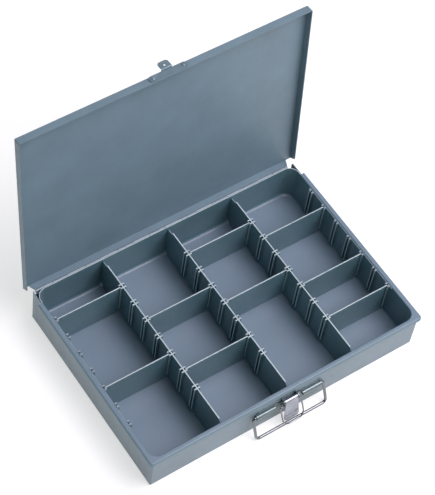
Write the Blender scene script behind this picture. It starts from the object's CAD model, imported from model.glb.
"""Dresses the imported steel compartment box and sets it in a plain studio.

Everything is in metres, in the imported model's own frame: X along the width,
Y from front to back, Z up, with the origin at the middle of the underside.
"""

from __future__ import annotations

import logging
import math
from dataclasses import dataclass, field
from enum import Enum
from typing import Callable, Iterable, Sequence

import bmesh
import bpy
from mathutils import Matrix, Vector
from mathutils.geometry import delaunay_2d_cdt

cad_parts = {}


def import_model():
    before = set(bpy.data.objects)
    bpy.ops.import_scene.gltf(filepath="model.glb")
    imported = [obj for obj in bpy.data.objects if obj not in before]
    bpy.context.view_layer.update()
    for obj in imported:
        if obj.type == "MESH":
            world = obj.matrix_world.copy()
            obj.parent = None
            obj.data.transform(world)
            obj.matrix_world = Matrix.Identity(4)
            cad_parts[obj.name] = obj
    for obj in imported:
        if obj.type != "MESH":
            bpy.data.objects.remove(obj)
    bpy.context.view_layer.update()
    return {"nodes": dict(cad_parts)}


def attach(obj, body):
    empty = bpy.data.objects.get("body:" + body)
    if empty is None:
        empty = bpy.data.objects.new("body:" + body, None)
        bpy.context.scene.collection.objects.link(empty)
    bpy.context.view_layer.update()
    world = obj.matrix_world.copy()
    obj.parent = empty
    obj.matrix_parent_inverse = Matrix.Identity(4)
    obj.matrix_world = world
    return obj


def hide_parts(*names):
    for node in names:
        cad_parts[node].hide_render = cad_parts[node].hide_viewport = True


LOG = logging.getLogger("compartment_box")
MM = 0.001

# Kind of result that keeps what is inside the outline and outside its holes.
INSIDE_WITH_HOLES = 2
SAME_POINT = 1e-7
SHARP_ANGLE = math.radians(50)

# The part of a noise's range that most of its values lie in.
NOISE_MIDDLE = (0.3, 0.7)
# Places of the colour sockets on Blender's Mix node: share, first and second, then the result.
MIX_INPUTS = (0, 6, 7)
MIX_OUTPUT = 2

Colour = tuple[float, float, float]
Place = tuple[float, float, float]
Flat = tuple[float, float]
Nodes = dict[str, bpy.types.Object]

# Sizes that several pieces share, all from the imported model.
HINGE_LINE: Place = (0.0, 117.45 * MM, 41.3 * MM)
LID_OPEN = 95.1
COLUMN_PITCH = 81.5 * MM


class Slot(Enum):
    """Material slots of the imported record."""

    PAINTED = "painted_steel"
    PLATED = "plated_steel"


class Body(Enum):
    """Moving bodies that new pieces ride on."""

    CASE = "case"
    LID = "lid"
    LEVER = "lever"


class Surface:
    """A material's node tree, with short calls for the nodes that finishes share."""

    def __init__(self, name: str) -> None:
        """Make an empty principled material.

        Args:
            name: The material's name.
        """
        self.material = bpy.data.materials.new(name)
        self.material.use_nodes = True
        self.tree = self.material.node_tree
        self.shader = self.tree.nodes["Principled BSDF"]
        self.place = self.add("ShaderNodeTexCoord").outputs["Object"]

    def add(self, kind: str) -> bpy.types.Node:
        """Add one node of the given kind and return it."""
        return self.tree.nodes.new(kind)

    def link(self, source: bpy.types.NodeSocket, target: bpy.types.NodeSocket) -> None:
        """Join an output to an input."""
        self.tree.links.new(source, target)

    def put(self, socket: bpy.types.NodeSocket,
            value: bpy.types.NodeSocket | Colour | float) -> None:
        """Give an input a link, a colour or a number.

        Args:
            socket: The input.
            value: An output socket, a colour of three numbers, or one number.
        """
        if isinstance(value, bpy.types.NodeSocket):
            self.link(value, socket)
        elif isinstance(value, tuple) and len(value) == 3 and len(socket.default_value) == 4:
            socket.default_value = (*value, 1.0)
        else:
            socket.default_value = value

    def noise(self, scale: float, detail: float = 2.0,
              stretch: Place | None = None) -> bpy.types.NodeSocket:
        """Smooth noise from 0 to 1 over the piece's own coordinates.

        Args:
            scale: Features per metre.
            detail: Octaves.
            stretch: Factors along X, Y and Z for drawn-out grain.

        Returns:
            The noise value.
        """
        node = self.add("ShaderNodeTexNoise")
        node.inputs["Scale"].default_value = scale
        node.inputs["Detail"].default_value = detail
        place = self.place
        if stretch is not None:
            mapping = self.add("ShaderNodeMapping")
            mapping.inputs["Scale"].default_value = stretch
            self.link(place, mapping.inputs["Vector"])
            place = mapping.outputs["Vector"]
        self.link(place, node.inputs["Vector"])
        return node.outputs["Fac"]

    def ramp(self, value: bpy.types.NodeSocket, low: float, high: float,
             start: float = 0.0, end: float = 1.0) -> bpy.types.NodeSocket:
        """Map a value from low..high to start..end and hold it there.

        Args:
            value: What is mapped.
            low: The value that gives start.
            high: The value that gives end.
            start: Result at low.
            end: Result at high.

        Returns:
            The mapped value.
        """
        node = self.add("ShaderNodeMapRange")
        limits = {"From Min": low, "From Max": high, "To Min": start, "To Max": end}
        for name, number in limits.items():
            node.inputs[name].default_value = number
        self.link(value, node.inputs["Value"])
        return node.outputs["Result"]

    def spread(self, noise: bpy.types.NodeSocket, start: float = 0.0,
               end: float = 1.0) -> bpy.types.NodeSocket:
        """Spread the middle of a noise's range over start to end."""
        return self.ramp(noise, *NOISE_MIDDLE, start, end)

    def blend(self, share: bpy.types.NodeSocket, first: bpy.types.NodeSocket | Colour,
              second: bpy.types.NodeSocket | Colour) -> bpy.types.NodeSocket:
        """Mix two colours.

        Args:
            share: 0 for the first colour, 1 for the second.
            first: The colour at 0.
            second: The colour at 1.

        Returns:
            The mixed colour.
        """
        node = self.add("ShaderNodeMix")
        node.data_type = "RGBA"
        for index, value in zip(MIX_INPUTS, (share, first, second)):
            self.put(node.inputs[index], value)
        return node.outputs[MIX_OUTPUT]

    def part(self, vector: bpy.types.NodeSocket, axis: str) -> bpy.types.NodeSocket:
        """Take one part of a vector.

        Args:
            vector: The vector.
            axis: X, Y or Z.

        Returns:
            The part along that axis.
        """
        split = self.add("ShaderNodeSeparateXYZ")
        self.link(vector, split.inputs["Vector"])
        return split.outputs[axis]

    def math(self, how: str, first: bpy.types.NodeSocket,
             second: bpy.types.NodeSocket) -> bpy.types.NodeSocket:
        """Join two values by one of Blender's operations.

        Args:
            how: The operation's name.
            first: Its first value.
            second: Its second value.

        Returns:
            The result.
        """
        node = self.add("ShaderNodeMath")
        node.operation = how
        self.link(first, node.inputs[0])
        self.link(second, node.inputs[1])
        return node.outputs[0]

    def most(self, first: bpy.types.NodeSocket,
             second: bpy.types.NodeSocket) -> bpy.types.NodeSocket:
        """The larger of two values."""
        return self.math("MAXIMUM", first, second)

    def product(self, first: bpy.types.NodeSocket,
                second: bpy.types.NodeSocket) -> bpy.types.NodeSocket:
        """Two values multiplied."""
        return self.math("MULTIPLY", first, second)

    def bump(self, height: bpy.types.NodeSocket, distance: float) -> None:
        """Raise the surface by a height map.

        Args:
            height: The map.
            distance: Metres from its lowest to its highest value.
        """
        node = self.add("ShaderNodeBump")
        node.inputs["Distance"].default_value = distance
        self.link(height, node.inputs["Height"])
        self.link(node.outputs["Normal"], self.shader.inputs["Normal"])


@dataclass(frozen=True)
class BareEdge:
    """Where a sheet's cut edge has lost its paint: above a height and behind a line."""

    above: float
    behind: float = -1.0
    fade: float = 0.12 * MM
    colour: Colour = (0.5, 0.6, 0.63)
    metal: float = 0.35
    patches_per_metre: float = 220.0
    patch_range: Flat = (0.25, 0.45)
    least_bare: float = 0.55


@dataclass(frozen=True)
class RubbedRibs:
    """Rib noses rubbed pale by the plates, from a distance off each long divider outward."""

    spacing: float = COLUMN_PITCH
    nose: float = 3.15 * MM
    fade: float = 0.2 * MM
    colour: Colour = (0.44, 0.55, 0.6)


@dataclass(frozen=True)
class BareBarrel:
    """Hinge knuckles worn bright round the hinge's own line."""

    axis: Place = HINGE_LINE
    within: float = 1.92 * MM
    fade: float = 0.08 * MM
    behind: float = 117.1 * MM
    colour: Colour = (0.56, 0.66, 0.68)


@dataclass(frozen=True)
class Enamel:
    """Baked enamel on sheet steel, with orange peel and a slightly uneven coat."""

    name: str
    colour: Colour = (0.15, 0.226, 0.276)
    edge: BareEdge | None = None
    rubbed: RubbedRibs | None = None
    barrel: BareBarrel | None = None
    dust: Colour | None = None
    dusty_slope: Flat = (0.4, 0.95)
    least_dust: float = 0.8
    uneven: float = 0.07
    clouds_per_metre: float = 28.0
    roughness: float = 0.42
    rough_spread: float = 0.05
    rough_per_metre: float = 160.0
    coat: float = 0.35
    coat_roughness: float = 0.28
    peel_per_metre: float = 900.0
    peel_height: float = 0.02 * MM

    def material(self) -> bpy.types.Material:
        """Build the material.

        Returns:
            The finished material.
        """
        surface = Surface(self.name)
        dark = tuple(part * (1 - self.uneven) for part in self.colour)
        light = tuple(part * (1 + self.uneven) for part in self.colour)
        clouds = surface.spread(surface.noise(self.clouds_per_metre, detail=3.0))
        colour = surface.blend(clouds, dark, light)
        if self.dust is not None:
            colour = surface.blend(self.dust_share(surface, clouds), colour, self.dust)
        if self.rubbed is not None:
            rubbed = self.rubbed_share(surface, self.rubbed)
            colour = surface.blend(rubbed, colour, self.rubbed.colour)
        if self.barrel is not None:
            bright = self.barrel_share(surface, self.barrel)
            colour = surface.blend(bright, colour, self.barrel.colour)
        if self.edge is not None:
            bare = self.bare_share(surface, self.edge)
            colour = surface.blend(bare, colour, self.edge.colour)
            metal = surface.ramp(bare, 0.0, 1.0, 0.0, self.edge.metal)
            surface.put(surface.shader.inputs["Metallic"], metal)
        surface.put(surface.shader.inputs["Base Color"], colour)
        rough = surface.spread(surface.noise(self.rough_per_metre),
                               self.roughness - self.rough_spread,
                               self.roughness + self.rough_spread)
        surface.put(surface.shader.inputs["Roughness"], rough)
        surface.shader.inputs["Coat Weight"].default_value = self.coat
        surface.shader.inputs["Coat Roughness"].default_value = self.coat_roughness
        surface.bump(surface.noise(self.peel_per_metre, detail=1.0), self.peel_height)
        return surface.material

    def dust_share(self, surface: Surface, clouds: bpy.types.NodeSocket) -> bpy.types.NodeSocket:
        """How dusty each point is: most on faces that look up.

        Args:
            surface: The material being built.
            clouds: Soft noise that makes the dust uneven.

        Returns:
            A share from 0, clean, to 1, dusty.
        """
        normal = surface.add("ShaderNodeNewGeometry").outputs["Normal"]
        level = surface.ramp(surface.part(normal, "Z"), *self.dusty_slope)
        return surface.product(level, surface.ramp(clouds, 0.0, 1.0, self.least_dust, 1.0))

    def barrel_share(self, surface: Surface, barrel: BareBarrel) -> bpy.types.NodeSocket:
        """How bright the hinge's knuckles are worn at each point.

        Args:
            surface: The material being built.
            barrel: Where the knuckles are.

        Returns:
            A share from 0, painted, to 1, bright.
        """
        crosswise = (0.0, 1.0, 1.0)
        offset = surface.add("ShaderNodeVectorMath")
        offset.operation = "SUBTRACT"
        offset.inputs[1].default_value = barrel.axis
        across = surface.add("ShaderNodeVectorMath")
        across.operation = "MULTIPLY"
        across.inputs[1].default_value = crosswise
        away = surface.add("ShaderNodeVectorMath")
        away.operation = "LENGTH"
        surface.link(surface.place, offset.inputs[0])
        surface.link(offset.outputs["Vector"], across.inputs[0])
        surface.link(across.outputs["Vector"], away.inputs[0])
        near = surface.ramp(away.outputs["Value"], barrel.within, barrel.within + barrel.fade,
                            1.0, 0.0)
        back = surface.ramp(surface.part(surface.place, "Y"), barrel.behind,
                            barrel.behind + barrel.fade)
        return surface.product(near, back)

    def rubbed_share(self, surface: Surface, ribs: RubbedRibs) -> bpy.types.NodeSocket:
        """How rubbed the paint is at each point.

        Args:
            surface: The material being built.
            ribs: Where the rib noses are.

        Returns:
            A share from 0, fresh, to 1, rubbed pale.
        """
        away = surface.add("ShaderNodeMath")
        away.operation = "PINGPONG"
        away.inputs[1].default_value = ribs.spacing / 2
        surface.link(surface.part(surface.place, "X"), away.inputs[0])
        return surface.ramp(away.outputs[0], ribs.nose, ribs.nose + ribs.fade)

    def bare_share(self, surface: Surface, edge: BareEdge) -> bpy.types.NodeSocket:
        """How bare the steel is at each point.

        Args:
            surface: The material being built.
            edge: Where the paint is gone.

        Returns:
            A share from 0, painted, to 1, bare.
        """
        high = surface.ramp(surface.part(surface.place, "Z"), edge.above, edge.above + edge.fade)
        back = surface.ramp(surface.part(surface.place, "Y"), edge.behind, edge.behind + edge.fade)
        patchy = surface.ramp(surface.noise(edge.patches_per_metre, detail=3.0), *edge.patch_range,
                              edge.least_bare, 1.0)
        return surface.product(surface.product(high, back), patchy)


@dataclass(frozen=True)
class InsideEnamel(Enamel):
    """The same enamel where the box shelters it: deeper, with dust on what looks up."""

    colour: Colour = (0.108, 0.208, 0.248)
    dust: Colour | None = (0.158, 0.224, 0.288)


@dataclass(frozen=True)
class Zinc:
    """Bright zinc plating on rolled steel, with faint drawing marks."""

    name: str
    colour: Colour
    metal: float = 1.0
    roughness: float = 0.24
    smoother: float = 0.06
    rougher: float = 0.08
    dulled: float = 0.8
    clouds_per_metre: float = 120.0
    grain_per_metre: float = 900.0
    grain_stretch: Place = (0.08, 1.0, 1.0)
    grain_height: float = 0.01 * MM

    def material(self) -> bpy.types.Material:
        """Build the material.

        Returns:
            The finished material.
        """
        surface = Surface(self.name)
        dull = tuple(part * self.dulled for part in self.colour)
        clouds = surface.spread(surface.noise(self.clouds_per_metre, detail=3.0))
        surface.put(surface.shader.inputs["Base Color"], surface.blend(clouds, dull, self.colour))
        surface.shader.inputs["Metallic"].default_value = self.metal
        grain = surface.noise(self.grain_per_metre, stretch=self.grain_stretch)
        rough = surface.spread(grain, self.roughness - self.smoother,
                               self.roughness + self.rougher)
        surface.put(surface.shader.inputs["Roughness"], rough)
        surface.bump(grain, self.grain_height)
        return surface.material


@dataclass
class Studio:
    """Floor, soft lights, pale surroundings and the camera."""

    floor_half: float = 6.0
    floor_lit: Colour = (0.82, 0.82, 0.82)
    floor_seen: Colour = (0.5, 0.5, 0.5)
    floor_glow: float = 0.62
    key_place: Place = (0.6, -0.5, 1.66)
    key_aim: Place = (0.0, 0.0, 0.05)
    key_size: float = 1.5
    key_power: float = 38.0
    key_colour: Colour = (1.05, 0.965, 1.045)
    horizon: float = 0.8
    zenith: float = 0.15
    zenith_from: float = 0.55
    sky_colour: Colour = (0.88, 1.0, 0.98)
    lens: float = 136.52
    sensor: float = 36.0
    sight: float = 50.0
    azimuth: float = -41.844
    elevation: float = 55.694
    roll: float = -9.756
    distance: float = 2044.466 * MM
    target: Place = (53.43 * MM, 89.202 * MM, 0.0)

    def build(self) -> None:
        """Make the floor, the key light, the surroundings and the camera."""
        self.floor()
        self.key()
        self.surroundings()
        self.camera()
        bpy.context.scene.view_settings.view_transform = "Standard"

    def floor(self) -> None:
        """A plain pale floor that keeps the box's shadow."""
        mesh = bpy.data.meshes.new("floor")
        reach = self.floor_half
        corners = [(-reach, -reach, 0), (reach, -reach, 0), (reach, reach, 0), (-reach, reach, 0)]
        mesh.from_pydata(corners, [], [(0, 1, 2, 3)])
        plane = bpy.data.objects.new("floor", mesh)
        bpy.context.scene.collection.objects.link(plane)
        surface = Surface("floor_paper")
        path = surface.add("ShaderNodeLightPath")
        mirrored = surface.most(path.outputs["Is Glossy Ray"], path.outputs["Is Transmission Ray"])
        seen = surface.most(path.outputs["Is Camera Ray"], mirrored)
        surface.put(surface.shader.inputs["Base Color"],
                    surface.blend(seen, self.floor_lit, self.floor_seen))
        surface.put(surface.shader.inputs["Emission Color"], (1.0, 1.0, 1.0))
        surface.put(surface.shader.inputs["Emission Strength"],
                    surface.ramp(seen, 0.0, 1.0, 0.0, self.floor_glow))
        surface.shader.inputs["Roughness"].default_value = 1.0
        surface.shader.inputs["Specular IOR Level"].default_value = 0.0
        mesh.materials.append(surface.material)

    def key(self) -> None:
        """A square soft light aimed at the box."""
        lamp = bpy.data.lights.new("key", "AREA")
        lamp.size = self.key_size
        lamp.energy = self.key_power
        lamp.color = self.key_colour
        holder = bpy.data.objects.new("key", lamp)
        holder.location = self.key_place
        aim = Vector(self.key_aim) - Vector(self.key_place)
        holder.rotation_euler = aim.to_track_quat("-Z", "Y").to_euler()
        bpy.context.scene.collection.objects.link(holder)

    def surroundings(self) -> None:
        """Pale walls low down all round and a dim ceiling above."""
        world = bpy.data.worlds.new("studio")
        bpy.context.scene.world = world
        world.use_nodes = True
        tree = world.node_tree
        place = tree.nodes.new("ShaderNodeTexCoord")
        split = tree.nodes.new("ShaderNodeSeparateXYZ")
        fade = tree.nodes.new("ShaderNodeMapRange")
        fade.inputs["From Max"].default_value = self.zenith_from
        fade.inputs["To Min"].default_value = self.horizon
        fade.inputs["To Max"].default_value = self.zenith
        tree.links.new(place.outputs["Generated"], split.inputs["Vector"])
        tree.links.new(split.outputs["Z"], fade.inputs["Value"])
        background = tree.nodes["Background"]
        background.inputs["Color"].default_value = (*self.sky_colour, 1.0)
        tree.links.new(fade.outputs["Result"], background.inputs["Strength"])

    def camera(self) -> None:
        """The camera at the photograph's angle and distance."""
        lens = bpy.data.cameras.new("camera")
        lens.lens = self.lens
        lens.sensor_width = self.sensor
        lens.clip_end = self.sight
        eye = bpy.data.objects.new("camera", lens)
        azimuth, elevation, roll = map(math.radians, (self.azimuth, self.elevation, self.roll))
        level = math.cos(elevation)
        back = Vector((math.sin(azimuth) * level, -math.cos(azimuth) * level,
                       math.sin(elevation)))
        right = (-back).cross(Vector((0, 0, 1))).normalized()
        down = (-back).cross(right)
        across = right * math.cos(roll) + down * math.sin(roll)
        below = down * math.cos(roll) - right * math.sin(roll)
        turn = Matrix((across, -below, back)).transposed().to_4x4()
        eye.matrix_world = Matrix.Translation(Vector(self.target) + back * self.distance) @ turn
        bpy.context.scene.collection.objects.link(eye)
        bpy.context.scene.camera = eye


@dataclass(frozen=True)
class Cutout:
    """A flat piece of sheet: its outline, its holes and its thickness, with softened edges."""

    outline: Sequence[Flat]
    thickness: float
    holes: Sequence[Sequence[Flat]] = ()
    points: Sequence[Flat] = ()
    rounding: float = 0.25 * MM

    def add_to(self, form: bmesh.types.BMesh, place: Matrix,
               rise: Callable[[float, float], float] | None = None) -> None:
        """Add the piece to a mesh that is being built.

        Args:
            form: The mesh.
            place: Where the sheet's own middle plane lies.
            rise: How far a point of the sheet is pressed out of its plane.
        """
        flat: list[Vector] = []
        edges: list[tuple[int, int]] = []
        for ring in (self.outline, *self.holes):
            first = len(flat)
            flat.extend(Vector(point) for point in ring)
            count = len(ring)
            edges.extend((first + step, first + (step + 1) % count) for step in range(count))
        flat.extend(Vector(point) for point in self.points)
        net = delaunay_2d_cdt(flat, edges, [], INSIDE_WITH_HOLES, SAME_POINT)
        front, back = [], []
        half = self.thickness / 2
        for point in net[0]:
            lift = rise(point.x, point.y) if rise else 0.0
            front.append(form.verts.new(place @ Vector((point.x, point.y, lift + half))))
            back.append(form.verts.new(place @ Vector((point.x, point.y, lift - half))))
        uses: dict[tuple[int, int], int] = {}
        for face in net[2]:
            form.faces.new([front[corner] for corner in face])
            form.faces.new([back[corner] for corner in reversed(face)])
            for start, end in zip(face, (*face[1:], face[0])):
                uses[start, end] = uses.get((start, end), 0) + 1
        rims = [pair for pair in uses if (pair[1], pair[0]) not in uses]
        for start, end in rims:
            form.faces.new((front[end], front[start], back[start], back[end]))
        form.edges.ensure_lookup_table()
        rim_edges = [form.edges.get((side[start], side[end]))
                     for start, end in rims for side in (front, back)]
        bmesh.ops.bevel(form, geom=rim_edges, offset=self.rounding, segments=2, profile=0.5,
                        affect="EDGES", clamp_overlap=True)


class Workshop:
    """Mesh work that the fittings share."""

    @staticmethod
    def rounded(corners: Sequence[Flat], radii: Sequence[float], steps: int = 5) -> list[Flat]:
        """An outline with its corners rounded.

        Args:
            corners: The corners in order.
            radii: The rounding of each corner, 0 for a sharp one.
            steps: Runs in each rounding.

        Returns:
            The points of the outline.
        """
        points: list[Flat] = []
        for index, (corner, radius) in enumerate(zip(corners, radii)):
            here = Vector(corner)
            if radius == 0:
                points.append(corner)
                continue
            before = (Vector(corners[index - 1]) - here).normalized()
            after = (Vector(corners[(index + 1) % len(corners)]) - here).normalized()
            half = before.angle(after) / 2
            reach = radius / math.tan(half)
            centre = here + (before + after).normalized() * radius / math.sin(half)
            start, end = here + before * reach - centre, here + after * reach - centre
            sweep = start.angle_signed(end)
            for step in range(steps + 1):
                turned = start.copy()
                turned.rotate(Matrix.Rotation(-sweep * step / steps, 2))
                points.append(tuple(centre + turned))
        return points

    @staticmethod
    def circle(middle: Flat, radius: float, steps: int = 24) -> list[Flat]:
        """Points round a circle."""
        return [(middle[0] + radius * math.cos(turn), middle[1] + radius * math.sin(turn))
                for turn in (math.tau * step / steps for step in range(steps))]

    @staticmethod
    def half_circle(radius: float, steps: int = 14) -> list[Flat]:
        """Half a circle on the side of the lower X, from its top to its bottom."""
        return [(radius * math.cos(turn), radius * math.sin(turn))
                for turn in (math.pi / 2 + math.pi * step / steps for step in range(steps + 1))]

    @staticmethod
    def turned(form: bmesh.types.BMesh, profile: Sequence[Flat], place: Matrix,
               steps: int = 32) -> None:
        """Add a closed round form, turned about its own Z.

        Args:
            form: The mesh that is being built.
            profile: Radius and height from the middle of the top to the middle of the foot.
            place: Where the form stands.
            steps: Runs round it.
        """
        rings = []
        for radius, height in profile:
            count = 1 if radius == 0 else steps
            rim = [(radius * math.cos(turn), radius * math.sin(turn), height)
                   for turn in (math.tau * step / steps for step in range(count))]
            rings.append([form.verts.new(place @ Vector(point)) for point in rim])
        for upper, lower in zip(rings, rings[1:]):
            for step in range(steps):
                after = (step + 1) % steps
                corners = [upper[step % len(upper)], lower[step % len(lower)],
                           lower[after % len(lower)], upper[after % len(upper)]]
                form.faces.new(list(dict.fromkeys(corners)))

    @staticmethod
    def lofted(form: bmesh.types.BMesh, sections: Sequence[Sequence[Vector]]) -> None:
        """Add a closed form through sections of equal count, with capped ends.

        Args:
            form: The mesh that is being built.
            sections: The sections in order, each as its corners in order.
        """
        rings = [[form.verts.new(point) for point in section] for section in sections]
        for first, second in zip(rings, rings[1:]):
            for step in range(len(first)):
                after = (step + 1) % len(first)
                form.faces.new((first[step], first[after], second[after], second[step]))
        form.faces.new(list(reversed(rings[0])))
        form.faces.new(rings[-1])

    @staticmethod
    def finished(form: bmesh.types.BMesh, name: str, material: bpy.types.Material, body: str,
                 slot: Slot, nodes: Sequence[str]) -> bpy.types.Object:
        """Turn a built mesh into a dressed piece that stands for its CAD nodes.

        Args:
            form: The mesh.
            name: The piece's name.
            material: Its finish.
            body: The body that it moves with.
            slot: The record's material slot.
            nodes: The CAD nodes that it replaces.

        Returns:
            The piece.
        """
        bmesh.ops.recalc_face_normals(form, faces=form.faces)
        mesh = bpy.data.meshes.new(name)
        form.to_mesh(mesh)
        form.free()
        mesh.materials.append(material)
        mesh.shade_smooth()
        mesh.set_sharp_from_angle(angle=SHARP_ANGLE)
        piece = bpy.data.objects.new(name, mesh)
        bpy.context.scene.collection.objects.link(piece)
        weighted = piece.modifiers.new("even_light", "WEIGHTED_NORMAL")
        weighted.keep_sharp = True
        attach(piece, body)
        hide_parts(*nodes)
        LOG.info("%s: %d faces, rides on %s", name, len(mesh.polygons), body)
        return piece


def upright(x: float, y: float, lean: float = 0.0, z: float = 0.0) -> Matrix:
    """A frame with X along the width, Y up and Z to the front, leaned outward by degrees."""
    return Matrix.Translation((x, y, z)) @ Matrix.Rotation(math.radians(90 - lean), 4, "X")


def lid_opened(angle: float) -> Matrix:
    """The turn, in degrees, that takes a piece of the closed lid to the open lid."""
    axis = Vector(HINGE_LINE)
    return (Matrix.Translation(axis) @ Matrix.Rotation(math.radians(-angle), 4, "X")
            @ Matrix.Translation(-axis))


@dataclass
class CrossDividers:
    """The loose plates between the slots, each with pressed dimples near its ends."""

    finish: bpy.types.Material
    width: float = 79.7 * MM
    foot: float = 2.0 * MM
    top: float = 48.4 * MM
    gauge: float = 1.2 * MM
    corner: float = 2.5 * MM
    trim: float = 4.6 * MM
    rounding: float = 0.32 * MM
    pitch: float = COLUMN_PITCH
    rear_slot: float = 74.15 * MM
    slot_step: float = 23.25 * MM
    dimple_inset: float = 7.5 * MM
    dimple_radius: float = 2.2 * MM
    dimple_height: float = 0.7 * MM
    dimple_rings: Sequence[float] = (0.2, 0.4, 0.6, 0.8, 1.0)
    dimple_steps: int = 20
    filled: dict[int, tuple[int, ...]] = field(
        default_factory=lambda: {1: (1, 5), 2: (3, 6), 3: (1, 4), 4: (2, 5, 7)})

    def build(self) -> None:
        """Make every plate in its own slot."""
        for column, slots in self.filled.items():
            for slot in slots:
                self.plate(column, slot)

    def dimples(self) -> list[Flat]:
        """Find the middles of the four dimples on one plate.

        Returns:
            The middles, across the plate and up it.
        """
        heights = (self.top - 2 * self.dimple_radius, (self.top + self.foot) / 2)
        across = self.width / 2 - self.dimple_inset
        return [(side * across, height) for side in (-1, 1) for height in heights]

    def pressed(self, x: float, z: float) -> float:
        """How far the plate is pressed out at a point."""
        near = min(math.dist((x, z), middle) for middle in self.dimples()) / self.dimple_radius
        return self.dimple_height * (1 + math.cos(math.pi * near)) / 2 if near < 1 else 0.0

    def plate(self, column: int, slot: int) -> None:
        """Make one plate.

        Args:
            column: Its column, counted from the left.
            slot: Its slot, counted from the back.
        """
        half = self.width / 2
        corners = [(-half + self.trim, self.foot), (half - self.trim, self.foot),
                   (half, self.foot + self.trim), (half, self.top),
                   (-half, self.top), (-half, self.foot + self.trim)]
        outline = Workshop.rounded(corners, [0, 0, 0, self.corner, self.corner, 0])
        rings = [point for middle in self.dimples() for share in self.dimple_rings
                 for point in Workshop.circle(middle, share * self.dimple_radius,
                                              self.dimple_steps)]
        form = bmesh.new()
        sheet = Cutout(outline, self.gauge, points=rings + self.dimples(), rounding=self.rounding)
        x = (column - (len(self.filled) + 1) / 2) * self.pitch
        y = self.rear_slot - (slot - 1) * self.slot_step
        sheet.add_to(form, upright(x, y), self.pressed)
        Workshop.finished(form, f"divider_plate_{column}_{slot}", self.finish,
                          f"divider_{column}_{slot}", Slot.PAINTED,
                          [f"cross_divider_{column}_{slot}"])


@dataclass
class RivetPair:
    """Two domed rivet heads on one fitting, one each side of its middle."""

    name: str
    finish: bpy.types.Material
    body: Body
    node: str
    place: Place
    swing: Matrix = field(default_factory=lambda: Matrix.Identity(4))
    radius: float = 2.2 * MM
    height: float = 1.0 * MM
    dome: Sequence[Flat] = ((0.0, 1.0), (0.35, 0.97), (0.6, 0.86), (0.8, 0.66), (0.93, 0.4),
                            (0.98, 0.22), (1.0, 0.1), (1.0, 0.0), (0.0, 0.0))

    def build(self) -> None:
        """Turn both heads, each with a flat foot on its plate."""
        profile = [(share * self.radius, rise * self.height) for share, rise in self.dome]
        form = bmesh.new()
        across, y, z = self.place
        for side in (-1, 1):
            spot = Matrix.Translation((side * across, y, z))
            Workshop.turned(form, profile, self.swing @ spot @ upright(0.0, 0.0))
        Workshop.finished(form, self.name, self.finish, self.body.value, Slot.PLATED, [self.node])


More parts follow.
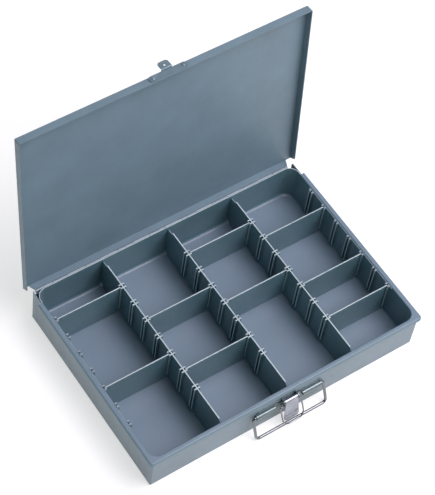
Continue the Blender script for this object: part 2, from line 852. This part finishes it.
@dataclass
class LatchLever:
    """The lever: one sheet that hangs from its own rolled top, with two ears for the loop."""

    finish: bpy.types.Material
    axis: Place = (0.0, -119.85 * MM, 33.6 * MM)
    tilt: float = 9.3
    gauge: float = 1.0 * MM
    roll_radius: float = 2.1 * MM
    roll_turn: float = 288.0
    top_half: float = 7.75 * MM
    foot_half: float = 9.5 * MM
    length: float = 27.4 * MM
    corner: float = 3.0 * MM
    rounding: float = 0.22 * MM
    kick: float = 0.9 * MM
    kick_length: float = 4.0 * MM
    ear_drop: float = 6.0 * MM
    ear_radius: float = 1.9 * MM
    ear_hole: float = 0.9 * MM
    ear_hole_steps: int = 16
    ear_rounding: float = 0.15 * MM
    rim_share: float = 0.3
    corner_steps: int = 6
    hang_steps: int = 8
    roll_steps: int = 30

    def build(self) -> None:
        """Roll the sheet, add the ears and dress the lever."""
        form = bmesh.new()
        hanging = upright(0.0, self.axis[1], self.tilt, self.axis[2])
        Workshop.lofted(form, [self.section(hanging, *stop) for stop in self.path()])
        for side in (-1, 1):
            self.ear(form, hanging, side)
        Workshop.finished(form, "lever_sheet", self.finish, Body.LEVER.value, Slot.PLATED,
                          ["latch_lever"])

    def path(self) -> list[tuple[float, float, float, float]]:
        """Lay out the stops along the sheet, from its foot to the end of its roll.

        Returns:
            For each stop its drop, reach, slope in degrees and half width.
        """
        stops = []
        for step in range(self.corner_steps + 1):
            inset = self.corner * (1 - math.cos(math.pi / 2 * step / self.corner_steps))
            drop = self.length - inset
            reach = math.sqrt(max(0.0, self.corner ** 2 - (self.corner - inset) ** 2))
            stops.append(self.stop(drop, self.half_at(drop) - self.corner + reach))
        for step in range(1, self.hang_steps + 1):
            drop = (self.length - self.corner) * (1 - step / self.hang_steps)
            stops.append(self.stop(drop, self.half_at(drop)))
        for step in range(1, self.roll_steps + 1):
            turn = self.roll_turn * step / self.roll_steps
            angle = math.radians(turn)
            stops.append((-self.roll_radius * math.sin(angle), self.roll_radius * math.cos(angle),
                          turn, self.top_half))
        return stops

    def stop(self, drop: float, half: float) -> tuple[float, float, float, float]:
        """Place one stop on the hanging part, whose foot kicks out a little.

        Args:
            drop: Distance below the axis.
            half: Half the sheet's width there.

        Returns:
            The stop's drop, reach, slope in degrees and half width.
        """
        near = max(0.0, drop - self.length + self.kick_length)
        reach = self.roll_radius + self.kick * (near / self.kick_length) ** 2
        slope = -math.degrees(math.atan(2 * self.kick * near / self.kick_length ** 2))
        return drop, reach, slope, half

    def half_at(self, drop: float) -> float:
        """Half the sheet's width at a distance below the axis."""
        return self.top_half + (self.foot_half - self.top_half) * drop / self.length

    def section(self, hanging: Matrix, drop: float, reach: float, turn: float,
                half: float) -> list[Vector]:
        """The sheet's cross section at a stop.

        Args:
            hanging: The lever's own frame.
            drop: Distance below the axis.
            reach: Distance in front of the axis.
            turn: How far the sheet has turned round the axis, in degrees.
            half: Half the sheet's width.

        Returns:
            The section's corners in order.
        """
        angle = math.radians(turn)
        outward = Vector((0.0, math.sin(angle), math.cos(angle)))
        thick, soft = self.gauge / 2, self.rounding
        shy = self.rim_share * soft
        rim = [(half - soft, thick), (half - shy, thick - shy), (half, thick - soft)]
        quarter = rim + [(x, -depth) for x, depth in reversed(rim)]
        ring = quarter + [(-x, depth) for x, depth in reversed(quarter)]
        return [hanging @ (Vector((x, -drop, reach)) + outward * depth) for x, depth in ring]

    def ear(self, form: bmesh.types.BMesh, hanging: Matrix, side: int) -> None:
        """Add the small ear that holds one end of the loop.

        Args:
            form: The lever's mesh.
            hanging: The lever's own frame.
            side: -1 for the left ear, 1 for the right one.
        """
        reach = self.roll_radius
        outline = [(reach, -self.ear_radius), (reach, self.ear_radius),
                   *Workshop.half_circle(self.ear_radius)]
        hole = Workshop.circle((0.0, 0.0), self.ear_hole, self.ear_hole_steps)
        sheet = Cutout(outline, self.gauge, [hole], rounding=self.ear_rounding)
        across = side * (self.top_half - self.gauge / 2)
        sideways = Matrix(((0, 0, 1, across), (0, 1, 0, -self.ear_drop),
                           (1, 0, 0, 0), (0, 0, 0, 1)))
        sheet.add_to(form, hanging @ sideways)


@dataclass
class HingeLeaf:
    """One leaf of the hinge: a long plate whose tongues are curled round the pin."""

    name: str
    node: str
    finish: bpy.types.Material
    body: Body
    first: int
    upward: int
    opened: float = 0.0
    length: float = 320.0 * MM
    count: int = 16
    gap: float = 0.2 * MM
    axis: Place = HINGE_LINE
    wall_y: float = 115.25 * MM
    gauge: float = 0.8 * MM
    height: float = 13.0 * MM
    bore: float = 1.05 * MM
    barrel: float = 1.9 * MM
    relief: float = 0.3 * MM
    curl: float = 318.0
    arc_steps: int = 30
    rounding: float = 0.15 * MM

    def build(self) -> None:
        """Make the plate and its curls, and set the leaf at its angle."""
        form = bmesh.new()
        start = self.barrel + self.relief
        half = self.length / 2
        middle = self.wall_y - self.axis[1] + self.gauge / 2
        near, far = self.upward * start, self.upward * self.height
        plate = Cutout([(-half, near), (half, near), (half, far), (-half, far)], self.gauge,
                       rounding=self.rounding)
        plate.add_to(form, upright(0.0, middle))
        pitch = self.length / self.count
        for index in range(self.first, self.count, 2):
            self.tongue(form, (index + 0.5) * pitch - half, (pitch - self.gap) / 2)
        form.transform(Matrix.Translation(self.axis)
                       @ Matrix.Rotation(math.radians(-self.opened), 4, "X"))
        Workshop.finished(form, self.name, self.finish, self.body.value, Slot.PAINTED,
                          [self.node])

    def tongue(self, form: bmesh.types.BMesh, x: float, half: float) -> None:
        """Add one curled tongue.

        Args:
            form: The leaf's mesh.
            x: Middle of the tongue.
            half: Half its length.
        """
        outer, inner = [], []
        for step in range(self.arc_steps + 1):
            turn = math.pi + math.radians(self.curl * step / self.arc_steps)
            for ring, radius in ((outer, self.barrel), (inner, self.bore)):
                ring.append((radius * math.cos(turn), self.upward * radius * math.sin(turn)))
        neck = self.upward * (self.barrel + 2 * self.relief)
        wall = self.wall_y - self.axis[1]
        section = [(wall + self.gauge, neck), (wall, neck), (wall, 0.0), *outer[1:],
                   *reversed(inner[1:]), (wall + self.gauge, 0.0)]
        faces = [[form.verts.new((x + side * half, y, z)) for y, z in section] for side in (-1, 1)]
        caps = [form.faces.new(faces[0]), form.faces.new(list(reversed(faces[1])))]
        for step in range(len(section)):
            after = (step + 1) % len(section)
            form.faces.new((faces[0][step], faces[1][step], faces[1][after], faces[0][after]))
        edges = list({edge for cap in caps for edge in cap.edges})
        bmesh.ops.bevel(form, geom=edges, offset=self.rounding, segments=1, affect="EDGES",
                        clamp_overlap=True)


def dress(nodes: Nodes, names: Iterable[str], finish: bpy.types.Material) -> None:
    """Give CAD nodes one finish.

    Args:
        nodes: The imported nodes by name.
        names: The nodes to dress.
        finish: The material.
    """
    for name in names:
        nodes[name].data.materials.clear()
        nodes[name].data.materials.append(finish)
        LOG.info("%s: packed node, finish %s", name, finish.name)


@dataclass
class Shell:
    """The folded casing with its rear wall, and the pan lid."""

    casing_finish: Enamel = Enamel("enamel")
    lid_finish: Enamel = Enamel("lid_enamel", coat=0.25, coat_roughness=0.45, roughness=0.5)

    def build(self, nodes: Nodes) -> None:
        """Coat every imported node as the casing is, then the lid in its duller enamel."""
        dress(nodes, nodes, self.casing_finish.material())
        dress(nodes, ("lid",), self.lid_finish.material())


@dataclass
class Insert:
    """The drawn tray with its slot strips, long dividers and loose cross dividers."""

    long_finish: Enamel = InsideEnamel("divider_enamel", edge=BareEdge(above=48.95 * MM),
                                       rubbed=RubbedRibs())
    strip_finish: Enamel = InsideEnamel(
        "strip_enamel", rubbed=RubbedRibs(),
        edge=BareEdge(above=47.0 * MM, colour=(0.3, 0.37, 0.42), metal=0.0))
    cross_finish: Enamel = InsideEnamel("plate_enamel", edge=BareEdge(above=48.15 * MM))
    tray_finish: Enamel = InsideEnamel("tray_enamel",
                                       edge=BareEdge(above=49.1 * MM, behind=98.0 * MM))
    long_dividers: Sequence[str] = ("long_divider_left", "long_divider_middle",
                                    "long_divider_right")
    strips: Sequence[str] = ("slot_strip_left", "slot_strip_right")

    def build(self, nodes: Nodes) -> None:
        """Dress the fixed pieces, then make the cross dividers.

        Args:
            nodes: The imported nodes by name.
        """
        dress(nodes, self.long_dividers, self.long_finish.material())
        dress(nodes, self.strips, self.strip_finish.material())
        dress(nodes, ("tray",), self.tray_finish.material())
        CrossDividers(self.cross_finish.material()).build()


@dataclass
class Latch:
    """The latch: base, pin, lever and loop on the case, and the catch plate on the lid."""

    wire: bpy.types.Material
    base_finish: Zinc = Zinc("plate_zinc", (0.2, 0.255, 0.265), 0.85, 0.34)
    lever_finish: Zinc = Zinc("lever_zinc", (0.4, 0.42, 0.47), 0.9, 0.3)
    catch_finish: Zinc = Zinc("catch_zinc", (0.2, 0.285, 0.335), 0.3, 0.38)
    rivet_finish: Zinc = Zinc("rivet_zinc", (0.5, 0.54, 0.55), 1.0, 0.25)
    base_rivet: Place = (28.0 * MM, -116.25 * MM, 21.0 * MM)
    catch_rivet: Place = (17.5 * MM, -119.75 * MM, 45.9 * MM)

    def build(self, nodes: Nodes) -> None:
        """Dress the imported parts, then make both pairs of rivets and the lever.

        Args:
            nodes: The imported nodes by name.
        """
        catch_zinc = self.catch_finish.material()
        dress(nodes, ("latch_base", "lever_pin"), self.base_finish.material())
        dress(nodes, ("latch_loop",), self.wire)
        dress(nodes, ("lid_catch",), catch_zinc)
        RivetPair("base_rivets", self.rivet_finish.material(), Body.CASE, "latch_rivets",
                  self.base_rivet).build()
        RivetPair("catch_plate_rivets", catch_zinc, Body.LID, "catch_rivets",
                  self.catch_rivet, lid_opened(LID_OPEN)).build()
        LatchLever(self.lever_finish.material()).build()


@dataclass
class Handle:
    """The wire carrying handle."""

    wire: bpy.types.Material

    def build(self, nodes: Nodes) -> None:
        """Dress the wire."""
        dress(nodes, ("handle",), self.wire)


@dataclass
class Hinge:
    """The full-length hinge: two curled leaves on one pin."""

    wire: bpy.types.Material
    leaf_finish: Enamel = Enamel("hinge_enamel", barrel=BareBarrel())
    lid_leaf_height: float = 8.4 * MM

    def build(self, nodes: Nodes) -> None:
        """Dress the pin, then make both leaves.

        Args:
            nodes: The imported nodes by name.
        """
        dress(nodes, ("hinge_pin",), self.wire)
        enamel = self.leaf_finish.material()
        HingeLeaf("hinge_curls_case", "hinge_leaf_case", enamel, Body.CASE, 0, -1).build()
        HingeLeaf("hinge_curls_lid", "hinge_leaf_lid", enamel, Body.LID, 1, 1,
                  opened=LID_OPEN, height=self.lid_leaf_height).build()


def main() -> None:
    """Build every class in order and log each piece."""
    logging.basicConfig(level=logging.INFO, format="%(message)s")
    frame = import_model()
    nodes: Nodes = frame["nodes"]
    Studio().build()
    wire = Zinc("wire_zinc", (0.25, 0.265, 0.28), roughness=0.18).material()
    Shell().build(nodes)
    Insert().build(nodes)
    Latch(wire).build(nodes)
    Handle(wire).build(nodes)
    Hinge(wire).build(nodes)


if __name__ == "__main__":
    main()
